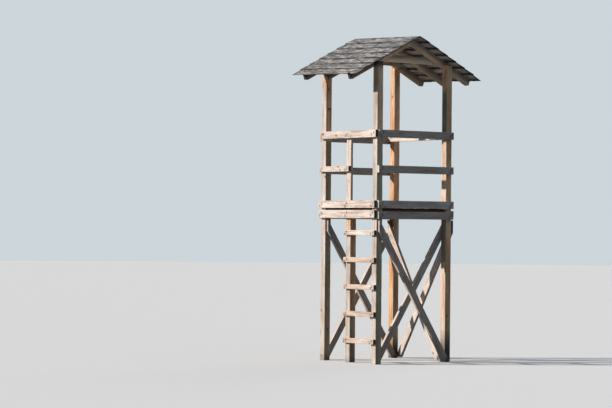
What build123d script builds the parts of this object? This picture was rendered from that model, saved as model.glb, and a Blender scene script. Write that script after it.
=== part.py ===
from build123d import *
import math
import os

# Lifeguard tower of sawn softwood: four posts, a railed deck at head height
# reached by a five-rung ladder, cross braces on three sides and a lapped
# board roof.
# Frame: Z up, origin on the ground under the middle of the tower. The ladder
# side faces -Y and is the front, and the ridge runs along X.

# Plan, over the outer faces of the posts
tower_width = 1250
tower_depth = 1360

# Timber sections
post_size = 100
board_height = 105
board_thickness = 48
arris = 3

# Height of the deck above the ground, and of the rails above the deck
deck_level = 2160
rail_height = 1082
mid_rail_height = 590

# Deck
front_rim_height = 115
side_rim_drop = 20
deck_board_thickness = 28
deck_board_count = 9
deck_board_gap = 6

# Guard rails
front_rail_shift = 18
side_rail_setback = 12
left_rail_drop = 35
front_mid_rail_height = 80
upright_thickness = 36
upright_top_gap = 12

# Ladder
rung_count = 5
bottom_step = 345
top_step = 310
rung_height = 70
rung_thickness = 48

# Cross braces
brace_width = 95
brace_thickness = 45
brace_foot_gap = 12
brace_top_gap = 5
brace_foot_setback = 45
side_brace_head_setback = 20
rear_brace_head_setback = 5

# Roof frame
roof_pitch = 26.6
roof_fall = 1.9
ridge_height = 2416
rafter_depth = 98
rafter_thickness = 45
rafter_setback = 30
tail_cut = 18
tail_level_cut = 42
tie_height = 100
tie_thickness = 42
tie_drop = 362
tie_end_gap = 24
post_top_gap = 25

# Roof covering
verge_overhang = 102
eave_overhang = 455
course_count = 7
roof_board_head = 14
roof_board_butt = 8
board_lap = 26

# Clearance between nailed pieces that lie at a slant to each other
seat_gap = 0.3

half_width = tower_width / 2
half_depth = tower_depth / 2
inner_x = half_width - post_size
inner_y = half_depth - post_size
pitch = math.radians(roof_pitch)
fall = math.radians(roof_fall)
deck_underside = deck_level - deck_board_thickness
ridge_level = deck_level + ridge_height
eave_run = half_depth + eave_overhang
roof_length = tower_width + 2 * verge_overhang

os.makedirs("parts", exist_ok=True)


def save(name, solids):
    """Write the solids of one named piece to its own file."""
    shape = solids[0] if len(solids) == 1 else Compound(children=solids)
    shape.label = name
    export_step(shape, f"parts/{name}.step")


def timber_x(x_from, x_to, y_from, y_to, z_from, z_to):
    """Sawn timber that runs along X, with its long arrises taken off."""
    section = Plane.YZ * Rectangle(y_to - y_from, z_to - z_from)
    bar = extrude(section, x_to - x_from)
    bar = chamfer(bar.edges().filter_by(Axis.X), arris)
    return Pos(x_from, (y_from + y_to) / 2, (z_from + z_to) / 2) * bar


def timber_y(x_from, x_to, y_from, y_to, z_from, z_to):
    """Sawn timber that runs along Y, with its long arrises taken off."""
    section = Plane.ZX * Rectangle(z_to - z_from, x_to - x_from)
    bar = extrude(section, y_to - y_from)
    bar = chamfer(bar.edges().filter_by(Axis.Y), arris)
    return Pos((x_from + x_to) / 2, y_from, (z_from + z_to) / 2) * bar


def timber_z(x_from, x_to, y_from, y_to, z_from, z_to):
    """Sawn timber that stands upright, with its long arrises taken off."""
    section = Rectangle(x_to - x_from, y_to - y_from)
    bar = extrude(section, z_to - z_from)
    bar = chamfer(bar.edges().filter_by(Axis.Z), arris)
    return Pos((x_from + x_to) / 2, (y_from + y_to) / 2, z_from) * bar


def covering_height(x, y):
    """Height of the plane on top of the rafters, which falls towards +X."""
    return ridge_level - abs(y) * math.tan(pitch) - x * math.tan(fall)


def make_posts():
    """Four corner posts, cut level just below the roof boards."""
    for side, x_sign in (("left", -1), ("right", 1)):
        top = covering_height(x_sign * half_width, half_depth) - post_top_gap
        x_ends = sorted((x_sign * half_width, x_sign * inner_x))
        for face, y_sign in (("front", -1), ("rear", 1)):
            y_ends = sorted((y_sign * half_depth, y_sign * inner_y))
            post = timber_z(*x_ends, *y_ends, 0, top)
            save(f"{face}_{side}_post", [post])


def make_ladder():
    """Half ladder: a middle post and five rungs nailed over it and a corner post."""
    half_post = post_size / 2
    ladder_post = timber_z(-half_post, half_post, -half_depth, -inner_y, 0, deck_underside)
    save("ladder_post", [ladder_post])
    rung_face = -half_depth - rung_thickness
    rung_spacing = (deck_level - bottom_step - top_step) / (rung_count - 1)
    for index in range(rung_count):
        top = bottom_step + index * rung_spacing
        rung = timber_x(-half_post, half_width, rung_face, -half_depth, top - rung_height, top)
        save(f"ladder_rung_{index + 1}", [rung])


def make_band(name, top, side_top, front_height):
    """Four boards on edge around the outside of the posts, at deck level."""
    outer_x = half_width + board_thickness
    outer_y = half_depth + board_thickness
    side_base = side_top - board_height
    front = timber_x(-half_width, half_width, -outer_y, -half_depth, top - front_height, top)
    rear = timber_x(-half_width, half_width, half_depth, outer_y, top - board_height, top)
    left = timber_y(-outer_x, -half_width, -half_depth, half_depth, side_base, side_top)
    right = timber_y(half_width, outer_x, -half_depth, half_depth, side_base, side_top)
    save(f"front_{name}", [front])
    save(f"rear_{name}", [rear])
    save(f"left_{name}", [left])
    save(f"right_{name}", [right])


def make_rails():
    """Top rails, mid rails on three sides and the upright that narrows the entry."""
    outer_x = half_width + board_thickness
    outer_y = half_depth + board_thickness
    half_upright = post_size / 2
    rail_top = deck_level + rail_height
    rail_base = rail_top - board_height
    mid_top = deck_level + mid_rail_height
    mid_base = mid_top - board_height

    front = timber_x(-half_width, half_width, -outer_y, -half_depth, rail_base, rail_top)
    rear_face = inner_y - board_thickness
    rear = timber_x(-half_width, half_width, rear_face, inner_y, rail_base, rail_top)
    left = timber_y(-outer_x, -half_width, -half_depth, half_depth, rail_base, rail_top)
    right_start = -half_depth + side_rail_setback
    right = timber_y(half_width, outer_x, right_start, half_depth, rail_base, rail_top)
    save("front_top_rail", [Pos(front_rail_shift, 0, 0) * front])
    save("rear_top_rail", [rear])
    save("left_top_rail", [Pos(0, 0, -left_rail_drop) * left])
    save("right_top_rail", [right])

    front_mid_base = mid_top - front_mid_rail_height
    front_mid = timber_x(-half_width, half_upright, -outer_y, -half_depth, front_mid_base, mid_top)
    left_mid = timber_y(-outer_x, -half_width, -half_depth, half_depth, mid_base, mid_top)
    right_mid = timber_y(half_width, outer_x, -half_depth, half_depth, mid_base, mid_top)
    save("front_mid_rail", [front_mid])
    save("left_mid_rail", [left_mid])
    save("right_mid_rail", [right_mid])

    upright_back = -half_depth + upright_thickness
    upright_top = rail_top - upright_top_gap
    upright = timber_z(-half_upright, half_upright, -half_depth, upright_back, deck_level, upright_top)
    save("entry_upright", [upright])


def make_deck():
    """Deck boards along X on two bearers, with short boards between the posts."""
    bearer_base = deck_underside - board_height
    for side, x_sign in (("left", -1), ("right", 1)):
        x_ends = sorted((x_sign * inner_x, x_sign * (inner_x - board_thickness)))
        bearer = timber_y(*x_ends, -half_depth, half_depth, bearer_base, deck_underside)
        save(f"{side}_bearer", [bearer])

    field = 2 * inner_y
    pitch_y = (field + deck_board_gap) / deck_board_count
    board_width = pitch_y - deck_board_gap
    edge_width = post_size - deck_board_gap / 2
    boards = []
    for y_sign in (-1, 1):
        y_ends = sorted((y_sign * half_depth, y_sign * (half_depth - edge_width)))
        boards.append(timber_x(-inner_x, inner_x, *y_ends, deck_underside, deck_level))
    for index in range(deck_board_count):
        start = -inner_y + index * pitch_y
        end = start + board_width
        boards.append(timber_x(-half_width, half_width, start, end, deck_underside, deck_level))
    save("deck_boards", boards)


def brace_profile(half_run, head_setback):
    """Diagonal board with a level foot near one side and a plumb head at the other."""
    rim_base = deck_underside - side_rim_drop - board_height
    top = rim_base - brace_top_gap
    foot = -half_run + brace_foot_setback
    head = half_run - head_setback
    angle = math.atan2(top - brace_foot_gap, head - foot)
    foot_length = brace_width / math.sin(angle)
    head_length = brace_width / math.cos(angle)
    foot_corners = [(foot + foot_length, brace_foot_gap), (foot, brace_foot_gap)]
    head_corners = [(head, top), (head, top - head_length)]
    return Polyline(*foot_corners, *head_corners, close=True)


def make_braces():
    """Pairs of crossed boards, one outside and one inside the posts."""
    side_outline = brace_profile(half_depth, side_brace_head_setback)
    side_board = extrude(Plane.YZ * make_face(side_outline), brace_thickness)
    side_mirrored = mirror(side_board, about=Plane.XZ)
    rear_outline = brace_profile(half_width, rear_brace_head_setback)
    rear_board = extrude(Plane.XZ * make_face(rear_outline), -brace_thickness)
    rear_mirrored = mirror(rear_board, about=Plane.YZ)

    save("right_outer_brace", [Pos(half_width, 0, 0) * side_mirrored])
    save("right_inner_brace", [Pos(inner_x - brace_thickness, 0, 0) * side_board])
    save("left_outer_brace", [Pos(-half_width - brace_thickness, 0, 0) * side_board])
    save("left_inner_brace", [Pos(-inner_x, 0, 0) * side_mirrored])
    save("rear_outer_brace", [Pos(0, half_depth, 0) * rear_board])
    save("rear_inner_brace", [Pos(0, inner_y - brace_thickness, 0) * rear_mirrored])


def rafter_outline():
    """Rafter in elevation: plumb cut at the ridge, a leaning and a level cut at the tail."""
    run = eave_run - rafter_setback
    slope = math.tan(pitch)
    plumb_depth = rafter_depth / math.cos(pitch)
    tail_top = (run, -run * slope)
    lean = math.radians(tail_cut)
    cut_length = rafter_depth / math.cos(pitch - lean)
    tail_back = cut_length * math.sin(lean)
    tail_drop = cut_length * math.cos(lean)
    level_rise = tail_level_cut / (1 / slope + math.tan(lean))
    level = -run * slope - tail_drop + level_rise
    tail_foot = (run - tail_back + level_rise * math.tan(lean), level)
    tail_heel = (run - tail_back - level_rise / slope, level)
    start = seat_gap / 2
    ridge_top = (start, -start * slope)
    ridge_foot = (start, -start * slope - plumb_depth)
    return Polyline(ridge_top, tail_top, tail_foot, tail_heel, ridge_foot, close=True)


def make_rafters():
    """Three pairs of rafters, the end pairs nailed to the inner faces of the posts."""
    end_centre = inner_x - rafter_thickness / 2
    rear = extrude(Plane.YZ * make_face(rafter_outline()), rafter_thickness / 2, both=True)
    front = mirror(rear, about=Plane.XZ)
    for place, x in (("left", -end_centre), ("middle", 0), ("right", end_centre)):
        top = covering_height(x + rafter_thickness / 2, 0) - seat_gap
        save(f"{place}_front_rafter", [Pos(x, 0, top) * front])
        save(f"{place}_rear_rafter", [Pos(x, 0, top) * rear])


def make_ties():
    """Tie beams nailed to the inner faces of the two end pairs of rafters."""
    for side, x_sign in (("left", -1), ("right", 1)):
        outer = x_sign * (inner_x - rafter_thickness)
        inner = outer - x_sign * tie_thickness
        rafter_top = covering_height(x_sign * inner_x, 0)
        base = rafter_top - tie_drop
        top = base + tie_height
        base_half = (tie_drop - tie_end_gap) / math.tan(pitch)
        top_half = (tie_drop - tie_height - tie_end_gap) / math.tan(pitch)
        corners = [(-base_half, base), (base_half, base), (top_half, top), (-top_half, top)]
        outline = Polyline(*corners, close=True)
        start = min(outer, inner)
        tie = Pos(start, 0, 0) * extrude(Plane.YZ * make_face(outline), tie_thickness)
        save(f"{side}_tie_beam", [tie])


def board_thickness_at(distance, width):
    """Thickness of a feather-edged roof board, measured down from its thick edge."""
    return roof_board_head + (roof_board_butt - roof_board_head) * distance / width


def roof_boards():
    """Feather-edged boards of one slope, thin edge down, each on the head of the one below."""
    exposure = eave_run / math.cos(pitch) / course_count
    board_width = exposure + board_lap
    seat = roof_board_head + seat_gap
    tilt = math.degrees(math.asin(seat / exposure))
    boards = []
    for course in range(course_count):
        lean = tilt
        upper = 0
        lower = board_width
        if course == 0:
            upper = -board_lap
        if course == course_count - 1:
            lean = 0
            lower = exposure
        upper_thickness = board_thickness_at(upper, board_width)
        lower_thickness = board_thickness_at(lower, board_width)
        corners = [(upper, 0), (lower, 0), (lower, lower_thickness), (upper, upper_thickness)]
        section = Rot(0, 0, lean) * make_face(Polyline(*corners, close=True))
        board = extrude(Plane.XZ * (Pos(course * exposure, 0) * section), roof_length, both=True)
        boards.append(board)
    return boards


def make_roof():
    """Front and rear slopes, trimmed plumb at the verges and meeting at the ridge."""
    slope_place = Pos(0, 0, ridge_level) * Rot(0, roof_fall, 0) * Rot(-roof_pitch, 0, 0) * Rot(0, 0, 90)
    reach = 2 * eave_run
    plumb_trim = Pos(0, (reach + seat_gap) / 2, ridge_level) * Box(roof_length, reach, reach)
    rear_slope = [(slope_place * board) & plumb_trim for board in roof_boards()]
    front_slope = [mirror(board, about=Plane.XZ) for board in rear_slope]
    save("rear_roof_boards", rear_slope)
    save("front_roof_boards", front_slope)


make_posts()
make_ladder()
make_band("kick_board", deck_level + board_height, deck_level + board_height, board_height)
make_band("rim_board", deck_underside, deck_underside - side_rim_drop, front_rim_height)
make_rails()
make_deck()
make_braces()
make_rafters()
make_ties()
make_roof()
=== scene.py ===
import bpy
import math
from itertools import product
import numpy as np
from mathutils import Matrix, Vector


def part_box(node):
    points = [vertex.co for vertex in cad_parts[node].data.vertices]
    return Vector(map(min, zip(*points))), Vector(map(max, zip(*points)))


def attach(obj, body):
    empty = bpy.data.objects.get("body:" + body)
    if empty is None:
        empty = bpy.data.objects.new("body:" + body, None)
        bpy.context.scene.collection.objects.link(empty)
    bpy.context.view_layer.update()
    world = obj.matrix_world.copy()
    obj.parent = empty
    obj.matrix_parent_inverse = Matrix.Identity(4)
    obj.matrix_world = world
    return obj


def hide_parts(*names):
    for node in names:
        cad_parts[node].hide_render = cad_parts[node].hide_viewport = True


# Lifeguard tower of sawn softwood. Each timber of the frame gets a piece of its
# own, lofted with worn arrises, chips and drying checks, and one more piece
# holds all nail heads. The ladder side is the front and faces -Y, and the ridge
# runs along X. Lengths are in metres. Tones go from 0 to 1, dark ones to DARKEST.

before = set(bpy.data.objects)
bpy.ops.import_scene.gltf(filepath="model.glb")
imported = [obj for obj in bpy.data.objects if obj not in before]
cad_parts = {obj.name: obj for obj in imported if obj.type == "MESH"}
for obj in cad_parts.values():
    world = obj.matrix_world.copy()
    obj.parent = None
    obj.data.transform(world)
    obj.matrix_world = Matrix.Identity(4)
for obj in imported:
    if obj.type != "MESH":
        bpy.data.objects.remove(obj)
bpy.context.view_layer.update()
scene = bpy.context.scene

# Levels and faces that the weathering goes by
DECK_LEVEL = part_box("deck_boards")[1].z
RAIL_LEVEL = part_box("right_top_rail")[0].z
NEAR_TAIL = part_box("right_front_rafter")[1].x
POST_FACE = max(-vertex.co.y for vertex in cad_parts["front_left_post"].data.vertices)
ROOF_LAP = 0.026

# Random draws: one stream for the nails and one for each node
SEED = 11
SEEDS_APART = 1000

# Camera, fitted to the straight edges of the posts, rails and rungs
IMAGE_WIDTH = 612
FOCAL_PIXELS = 2303.04
SENSOR_WIDTH = 36.0
CAMERA_PLACE = Vector((25.2331, -20.7912, 1.888))
AZIMUTH = math.radians(52.5023)
PITCH = math.radians(0.5726)
ROLL = math.radians(0.4913)
CLIP_END = 200.0

# A warm low sun, a weak wide lamp from the back, and a world that is brighter
# towards +X and +Y, with one slant for each of red, green and blue
SUN_TRAVEL = Vector((1.0, 1.6, -0.856))
SUN_STRENGTH = 3.80
SUN_COLOUR = (1.0, 0.922, 0.851)
SUN_ANGLE = math.radians(0.8)
BACK_TRAVEL = Vector((0.4, -1.0, -0.55))
BACK_STRENGTH = 0.35
BACK_COLOUR = (1.0, 1.0, 1.0)
BACK_ANGLE = math.radians(40.0)
SKY_LIGHT = (0.84, 0.97, 1.16)
SKY_STRENGTH = 0.18
SKY_SLANTS = ((1.35, 1.35, 0.0), (1.12, 0.90, 0.0), (0.90, 0.50, 0.0))
SKY_LEAST = 0.05

# Backdrop and floor as they are seen, and the light that the floor throws back
BACKDROP_COLOUR = (0.61, 0.67, 0.71)
FLOOR_COLOUR = (0.96, 0.99, 1.0)
FLOOR_BOUNCE = (0.17, 0.20, 0.235)
FLOOR_RADIUS = 90.0
FLOOR_SIDES = 96
FLOOR_ROUGHNESS = 0.9
FLOOR_SPECULAR = 0.1


def put(name, data):
    """A new object in the scene."""
    made = bpy.data.objects.new(name, data)
    scene.collection.objects.link(made)
    return made


# Random curves and sheets

def ease(t):
    """Smooth step from 0 to 1."""
    return t * t * (3 - 2 * t)


def ramp(value, start, reach):
    """From 0 at the start evenly up to 1 over the reach, which may be negative."""
    return np.clip((value - start) / reach, 0, 1)


def noise_line(rng, s, spacing):
    """Smooth random values from -1 to 1 along the distances s."""
    place = (s - s.min()) / spacing
    values = rng.uniform(-1, 1, int(place.max()) + 3)
    index = place.astype(int)
    part = ease(place - index)
    return values[index] * (1 - part) + values[index + 1] * part


def noise_sheet(rng, s, t, s_spacing, t_spacing):
    """Smooth random values from -1 to 1 over two distances."""
    ps = (s - s.min()) / s_spacing
    pt = (t - t.min()) / t_spacing
    values = rng.uniform(-1, 1, (int(ps.max()) + 3, int(pt.max()) + 3))
    i, j = ps.astype(int), pt.astype(int)
    f, g = ease(ps - i), ease(pt - j)
    near = values[i, j] * (1 - f) + values[i + 1, j] * f
    far = values[i, j + 1] * (1 - f) + values[i + 1, j + 1] * f
    return near * (1 - g) + far * g


def waved(rng, s, middle, waves):
    """A middle value with smooth waves, each of a height and a spacing."""
    for height, spacing in waves:
        middle = middle + height * noise_line(rng, s, spacing)
    return middle


def notched(rng, s, value, notches, scale=1.0):
    """A value with a few random bumps added along the distances s."""
    for _ in range(rng.integers(*notches["count"])):
        at, wide = rng.uniform(0, s[-1]), rng.uniform(*notches["length"])
        depth = scale * rng.uniform(*notches["depth"])
        value = value + depth * np.exp(-(((s - at) / wide) ** 2))
    return value


def by_kind(node, values, other):
    """The value for the first kind that a node's name holds."""
    return next((value for kind, value in values.items() if kind in node), other)


# The solids of the frame, each taken as a timber between two end faces

CORNERS = np.array([(-1, -1), (1, -1), (1, 1), (-1, 1)], float)
MERGE_GRID = 20000  # steps in a metre that mesh points are rounded to
TAIL_CORNERS = 10  # of a rafter, whose tail has two cuts
BOX_CORNERS = 8
SQUARE_SPREAD = 0.85  # least share between the sides of a square section
ACROSS = 0.5  # cosine below which an axis lies across a direction


def solids(node):
    """Corner points of each closed solid of a node of the frame."""
    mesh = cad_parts[node].data
    keys = {}
    first = [
        keys.setdefault(tuple(round(c * MERGE_GRID) for c in vertex.co), vertex.index)
        for vertex in mesh.vertices
    ]
    parent = list(range(len(first)))

    def root(i):
        while parent[i] != i:
            i = parent[i]
        return i

    for polygon in mesh.polygons:
        for v in polygon.vertices:
            parent[root(first[v])] = root(first[polygon.vertices[0]])
    groups = {}
    for i in keys.values():
        groups.setdefault(root(i), []).append(tuple(mesh.vertices[i].co))
    return [np.array(group) for group in groups.values()]


class Solid:
    """A straight timber: its end corners, its axes along and across, and its sizes."""

    def __init__(self, points):
        self.level = None
        if len(points) == TAIL_CORNERS:
            points = self.fill_tail(points)
        if len(points) > BOX_CORNERS:
            points = np.array(list(product(*zip(points.min(0), points.max(0)))))
        along = np.linalg.svd(points - points.mean(0))[2][0]
        if along[np.abs(along).argmax()] < 0:
            along = -along
        order = np.argsort(points @ along)
        ends = [points[order[:4]], points[order[4:]]]
        self.base = ends[0].mean(0)
        along = ends[1].mean(0) - self.base
        self.length = np.linalg.norm(along)
        self.along = along / self.length

        flat = np.vstack([end - end.mean(0) for end in ends])
        flat -= np.outer(flat @ self.along, self.along)
        spread, axes = np.linalg.svd(flat)[1:]
        self.v = axes[0]
        if spread[1] > SQUARE_SPREAD * spread[0]:
            self.v = np.cross(self.along, (1.0, 0, 0))
            self.v /= np.linalg.norm(self.v)
        if self.v[np.abs(self.v).argmax()] < 0:
            self.v = -self.v
        self.u = np.cross(self.v, self.along)

        self.ends = []
        for end in ends:
            rel = end - end.mean(0)
            rel = np.stack([rel @ self.u, rel @ self.v], 1)
            picked = [end[(rel * corner).min(1).argmax()] for corner in CORNERS]
            self.ends.append(np.array(picked))
        both = self.ends[0] + self.ends[1]
        self.half_u = (both[1] + both[2] - both[0] - both[3]) @ self.u / 8
        self.half_v = (both[2] + both[3] - both[0] - both[1]) @ self.v / 8

    def fill_tail(self, points):
        """Corners of a rafter as if its tail had no level cut, the height of which is kept."""
        order = np.argsort(np.abs(points[:, 1]))
        spans = ((0, 4), (4, 6), (6, 8), (8, 10))
        ridge, heel, foot, top = (points[order[start:end]] for start, end in spans)
        low = ridge[ridge[:, 2].argmin(), 1:]
        h, f, t = (corners[:, 1:].mean(0) for corners in (heel, foot, top))
        reach = np.linalg.solve(np.stack([h - low, t - f], 1), t - low)[1]
        foot[:, 1:] = t + reach * (f - t)
        self.level = f[1]
        return np.vstack([ridge, foot, top])

    def place(self, share, a, b):
        """Points at a share of the length and at a, b across, each -1 to 1."""
        weights = (1 + CORNERS[:, 0] * a[..., None]) * (1 + CORNERS[:, 1] * b[..., None]) / 4
        start = weights @ self.ends[0]
        end = weights @ self.ends[1]
        return start + (end - start) * share[..., None]

    def holds(self, points, way):
        """Which points lie in it, seen along a direction."""
        rel = points - self.base
        inside = np.ones(len(points), bool)
        for axis, low, high in (
            (self.along, 0, self.length),
            (self.u, -self.half_u, self.half_u),
            (self.v, -self.half_v, self.half_v),
        ):
            if abs(axis @ way) < ACROSS:
                t = rel @ axis
                inside &= (t > low) & (t < high)
        return inside


# Lofting

BOARD = dict(
    radius=0.0042,  # of the arrises
    step=0.0135,  # between points round it
    ring=0.026,  # between points along it
    checks=0.75,  # share of the faces with a check
    depth=0.007,  # of the checks
    rough=0.0006,
    bow=0.0010,
)
POST = dict(BOARD, ring=0.028, checks=1.0, depth=0.011)
DECK = dict(radius=0.004, step=0.014, ring=0.036, checks=0.6, depth=0.006, rough=0.0007, bow=0.0008)
ROOF = dict(radius=0.0014, step=0.0085, ring=0.0135, checks=1.0, depth=0.005, rough=0.0012, bow=0)

SIDE_RUN = np.array([(1, 0), (0, 1), (-1, 0), (0, -1)], float)
SIDE_OUT = np.roll(SIDE_RUN, 1, 0)
ARC = np.radians([30, 60])

END_CLEAR = 0.014  # first even ring from an end
END_RINGS = (0.0, 0.0015, 0.005)
END_ROUND = 0.005  # length and depth of the rounding of an end
END_INSET = 0.0018
CAP = (0.93, 0.68, 0.38, 0.13)  # rings that close an end, as shares of its size
CAP_UNEVEN = 0.0007
TAIL_RINGS = np.arange(0.02, 0.08, 0.006)
NAIL_RINGS = (-0.012, 0.0, 0.012)
RING_LEAST = 0.001

ARRIS_WAVES = ((0.35, 0.11),)
ARRIS_LIMIT = 0.42  # of the shorter side of the section
CHIPS = dict(count=(0, 4), length=(0.012, 0.05), depth=(0.4, 1.5))
END_WEAR = 0.6
END_WEAR_REACH = 0.006

CHECK_FACE = 0.055  # narrower faces stay whole
WIDE_FACE = 0.15  # wider faces get three checks
CHECK_PLACES = {1: (0.18, 0.82), 3: (0.3, 0.7)}
CHECK_CLEAR = 0.011
CHECK_SPACING = (0.18, 0.4)
CHECK_WAVE = 1.5
CHECK_USUAL = 0.35
END_CHECK = (-0.5, 1.6)
END_CHECK_REACH = 0.12
CHECK_WANDER = ((0.004, 0.13), (0.0022, 0.035))
HAIR_WIDTH = 0.0004
CHECK_WIDTH = (0.0012, 0.0026)
CHECK_DEPTH = (0.5, 1.0)

WORN_MIDDLE = 0.5
WORN_WAVES = ((0.35, 0.09, 0.016), (0.15, 0.03, 0.009))  # height, spacing along and round


def ring_distances(solid, look, nails):
    """Distances of the rings from the base, closer by the ends and the nails."""
    length = solid.length
    count = max(4, round(length / look["ring"]))
    distances = set(np.linspace(END_CLEAR, length - END_CLEAR, count).round(5))
    distances |= set(END_RINGS) | {length - d for d in END_RINGS}
    if solid.level:
        distances |= set(TAIL_RINGS.round(5)) | set((length - TAIL_RINGS).round(5))
    for point, _ in nails:
        at = float((point - solid.base) @ solid.along)
        beside = (at + d for d in NAIL_RINGS)
        distances |= {round(d, 5) for d in beside if END_CLEAR < d < length - END_CLEAR}
    s = np.array(sorted(distances))
    s = s[np.append(True, np.diff(s) > RING_LEAST)]
    s[-1] = length
    return s


def arris_radii(rng, s, near, radius, limit):
    """Radius of each of the four arrises along the timber, with a few chips."""
    radii = []
    for _ in CORNERS:
        r = notched(rng, s, radius * waved(rng, s, 1, ARRIS_WAVES), CHIPS, radius)
        r = r + END_WEAR * radius * np.exp(-near / END_WEAR_REACH)
        radii.append(np.minimum(r, limit))
    return radii


def make_check(rng, s, near, look):
    """A drying check: how it wanders, how wide and how deep it is along the timber."""
    opened = noise_line(rng, s, rng.uniform(*CHECK_SPACING)) * CHECK_WAVE + CHECK_USUAL
    opened = opened + np.exp(-near / END_CHECK_REACH) * rng.uniform(*END_CHECK)
    opened = np.clip(opened, 0, 1)
    return dict(
        wander=waved(rng, s, 0, CHECK_WANDER),
        wide=HAIR_WIDTH + rng.uniform(*CHECK_WIDTH) * opened,
        deep=look["depth"] * rng.uniform(*CHECK_DEPTH) * opened,
    )


def section_marks(rng, s, near, look, lengths):
    """Points round the section: side, arc angle, share of the side, check and its lip."""
    marks = []
    for side in range(4):
        marks += [(side, angle, 0.0, None, 0) for angle in ARC]
        span = lengths[side] - 2 * look["radius"]
        steps = max(1, round(span / look["step"]))
        shares = [(share, None) for share in np.linspace(0, 1, steps + 1)]
        wanted = (1 + (span > WIDE_FACE) * 2) * (span > CHECK_FACE)
        for k in range(wanted):
            if rng.random() > look["checks"]:
                continue
            middle = (k + rng.uniform(*CHECK_PLACES[wanted])) / wanted
            clear = CHECK_CLEAR / span
            shares = [
                (share, check) for share, check in shares
                if check or abs(share - middle) > clear or share in (0, 1)
            ]
            shares.append((middle, make_check(rng, s, near, look)))
        for share, check in sorted(shares, key=lambda pair: pair[0]):
            lips = (-1.0, 0.0, 1.0) if check else (0.0,)
            marks += [(side, None, share, check, lip) for lip in lips]
    return marks


def sections(solid, s, lengths, radii, marks):
    """Places across the timber for each ring and mark, and the marks' outward directions."""
    corner = CORNERS * (solid.half_u, solid.half_v)
    at = np.zeros((len(s), len(marks), 2))
    out = np.zeros((len(marks), 2))
    for m, (side, angle, share, check, lip) in enumerate(marks):
        if angle is not None:
            out[m] = SIDE_OUT[side - 1] * math.cos(angle) + SIDE_OUT[side] * math.sin(angle)
            centre = corner[side] + np.outer(radii[side], SIDE_RUN[side] - SIDE_RUN[side - 1])
            at[:, m] = centre + np.outer(radii[side], out[m])
            continue
        out[m] = SIDE_OUT[side]
        start, end = radii[side], radii[(side + 1) % 4]
        t = start + share * (lengths[side] - start - end)
        deep = np.zeros(len(s))
        if check:
            t = t + check["wander"] + lip * check["wide"] / 2
            deep = check["deep"] * (lip == 0)
        at[:, m] = corner[side] + np.outer(t, SIDE_RUN[side]) - np.outer(deep, out[m])
    return at, out


def strip(first, second):
    """Faces between rings of point numbers."""
    sides = (first, np.roll(first, -1, -1), np.roll(second, -1, -1), second)
    return np.stack(sides, -1).reshape(-1, 4).tolist()


def end_cap(rng, edge, before, used, along, sign):
    """Points and faces that close an end with ever smaller rings round its middle."""
    total = len(edge)
    middle = edge.mean(0)
    points, faces = [], []
    for factor in CAP:
        sink = rng.uniform(0, CAP_UNEVEN, total) * -sign
        points.append(middle + (edge - middle) * factor + np.outer(sink, along))
        ids = np.arange(used, used + total)
        used += total
        faces += strip(before, ids) if sign > 0 else strip(ids, before)
        before = ids
    points.append(middle[None])
    for m in range(total):
        a, b = before[m], before[(m + 1) % total]
        faces.append([a, b, used] if sign > 0 else [b, a, used])
    return np.vstack(points), faces


def loft(rng, solid, look, nails=(), shape=None):
    """Mesh of one weathered timber: points, faces, outward directions and end distances."""
    s = ring_distances(solid, look, nails)
    near = np.minimum(s, solid.length - s)
    lengths = 2 * np.array([solid.half_u, solid.half_v, solid.half_u, solid.half_v])
    radii = arris_radii(rng, s, near, look["radius"], ARRIS_LIMIT * lengths.min())
    marks = section_marks(rng, s, near, look, lengths)
    at, out = sections(solid, s, lengths, radii, marks)
    rings, total = len(s), len(marks)

    # worn surface and rounded ends
    round_it = np.cumsum(np.append(0, np.linalg.norm(np.diff(at[rings // 2], axis=0), axis=1)))
    ss, tt = np.meshgrid(s, round_it, indexing="ij")
    worn = WORN_MIDDLE
    for height, along, across in WORN_WAVES:
        worn = worn + height * noise_sheet(rng, ss, tt, along, across)
    inset = look["rough"] * worn * 2
    inset += (END_INSET * np.clip(1 - near / END_ROUND, 0, 1) ** 2)[:, None]
    at -= inset[..., None] * out

    if shape:
        at = shape(s, at)
    bend = np.sin(math.pi * s / solid.length) * look["bow"]
    at = at + np.stack([bend * rng.uniform(-1, 1), bend * rng.uniform(-1, 1)], 1)[:, None]
    share = np.repeat((s / solid.length)[:, None], total, 1)
    a, b = at[..., 0] / solid.half_u, at[..., 1] / solid.half_v
    points = solid.place(share, a, b)
    if solid.level:  # the level cut of a tail
        below = np.minimum(points[..., 2] - solid.level - inset, 0)
        rise = (solid.place(share, a, b + 1) - points)[..., 2]
        points = solid.place(share, a, b - below / rise)

    index = np.arange(rings * total).reshape(rings, total)
    faces = strip(index[:-1], index[1:])
    verts = [points.reshape(-1, 3)]
    outs = [np.tile(out @ np.stack([solid.u, solid.v]), (rings, 1))]
    ends = [np.repeat(near, total)]
    used = rings * total
    for ring, sign in ((0, -1.0), (rings - 1, 1.0)):
        cap, cap_faces = end_cap(rng, points[ring], index[ring], used, solid.along, sign)
        verts.append(cap)
        faces += cap_faces
        outs.append(np.tile(solid.along * sign, (len(cap), 1)))
        ends.append(np.zeros(len(cap)))
        used += len(cap)
    return np.vstack(verts), faces, np.vstack(outs), np.concatenate(ends)


# Roof boards: waves and notches of the lower edge, lift of the butt, ripples

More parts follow.
